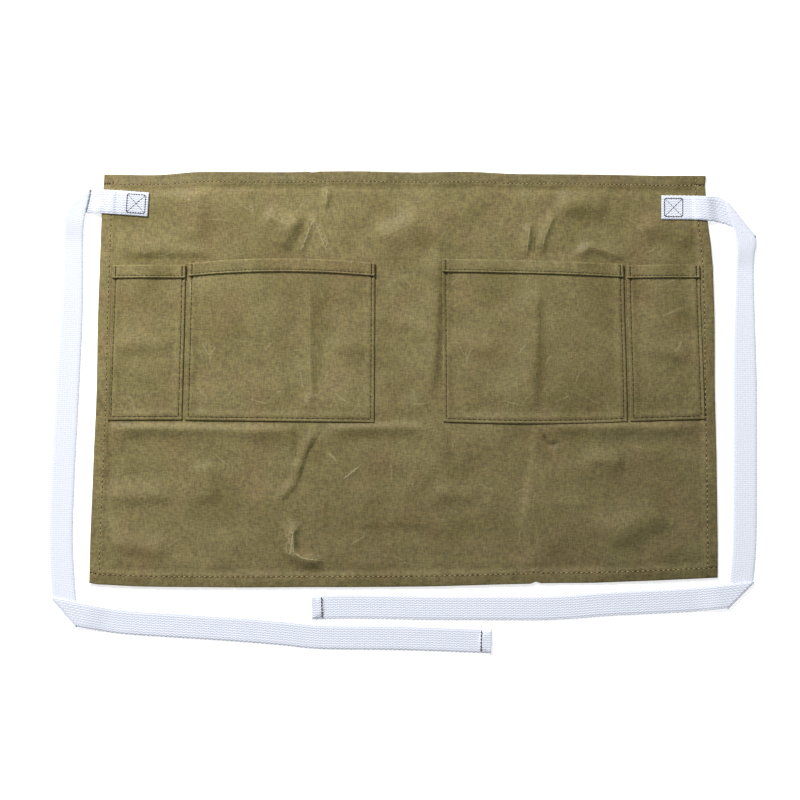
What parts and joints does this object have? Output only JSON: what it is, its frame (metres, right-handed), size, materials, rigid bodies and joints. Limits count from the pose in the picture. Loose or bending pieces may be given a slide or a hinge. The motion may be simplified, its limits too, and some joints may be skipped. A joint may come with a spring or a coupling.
{
  "type": "waist apron",
  "caption": "Waist apron of waxed canvas with patch pockets sewn to the front and folded cotton webbing ties at the sides, lying flat.",
  "frame": {"origin": "middle of the footprint, ties included, on the surface that the apron lies on", "axes": "+X towards the right tie as seen from the front, +Y towards the waist hem, +Z out of the front of the apron, up"},
  "size_m": [0.7086, 0.4816, 0.0093],
  "materials": {
    "waxed_canvas": "olive brown waxed cotton canvas, matt with pale wax creases",
    "cotton_webbing": "white woven cotton webbing, herringbone face",
    "hem_thread": "tan sewing thread",
    "pocket_thread": "dark olive sewing thread",
    "tie_thread": "dark brown sewing thread"
  },
  "bodies": {
    "apron": {"panel": "waxed_canvas", "left_narrow_pocket": "waxed_canvas", "left_wide_pocket": "waxed_canvas", "right_wide_pocket": "waxed_canvas", "right_narrow_pocket": "waxed_canvas", "left_tie_sewn_end": "cotton_webbing", "right_tie_sewn_end": "cotton_webbing", "waist_hem_thread": "hem_thread", "foot_hem_thread": "hem_thread", "left_side_hem_thread": "hem_thread", "right_side_hem_thread": "hem_thread", "left_narrow_pocket_edge_thread": "pocket_thread", "left_narrow_pocket_mouth_thread": "pocket_thread", "left_wide_pocket_edge_thread": "pocket_thread", "left_wide_pocket_mouth_thread": "pocket_thread", "right_wide_pocket_edge_thread": "pocket_thread", "right_wide_pocket_mouth_thread": "pocket_thread", "right_narrow_pocket_edge_thread": "pocket_thread", "right_narrow_pocket_mouth_thread": "pocket_thread", "left_tie_box_thread": "tie_thread", "right_tie_box_thread": "tie_thread"},
    "left_side_run": {"left_tie_side_run": "cotton_webbing"},
    "left_end_run": {"left_tie_end_run": "cotton_webbing", "left_tie_end_thread": "tie_thread"},
    "right_side_run": {"right_tie_side_run": "cotton_webbing"},
    "right_end_run": {"right_tie_end_run": "cotton_webbing", "right_tie_end_thread": "tie_thread"}
  },
  "joints": [
    {"name": "left_first_fold", "type": "hinge", "parent": "apron", "child": "left_side_run", "pos_m": [-0.32588, 0.21173, 0.00165], "axis": [-0.7708, -0.6371, 0], "range_deg": [0, 180]},
    {"name": "left_second_fold", "type": "hinge", "parent": "left_side_run", "child": "left_end_run", "pos_m": [-0.33828, -0.19927, 0.00165], "axis": [0.6575, -0.7535, 0], "range_deg": [0, 180]},
    {"name": "right_first_fold", "type": "hinge", "parent": "apron", "child": "right_side_run", "pos_m": [0.33682, 0.19323, 0.00165], "axis": [-0.627, 0.779, 0], "range_deg": [0, 180]},
    {"name": "right_second_fold", "type": "hinge", "parent": "right_side_run", "child": "right_end_run", "pos_m": [0.33672, -0.18237, 0.00165], "axis": [0.7019, 0.7123, 0], "range_deg": [0, 180]}
  ]
}
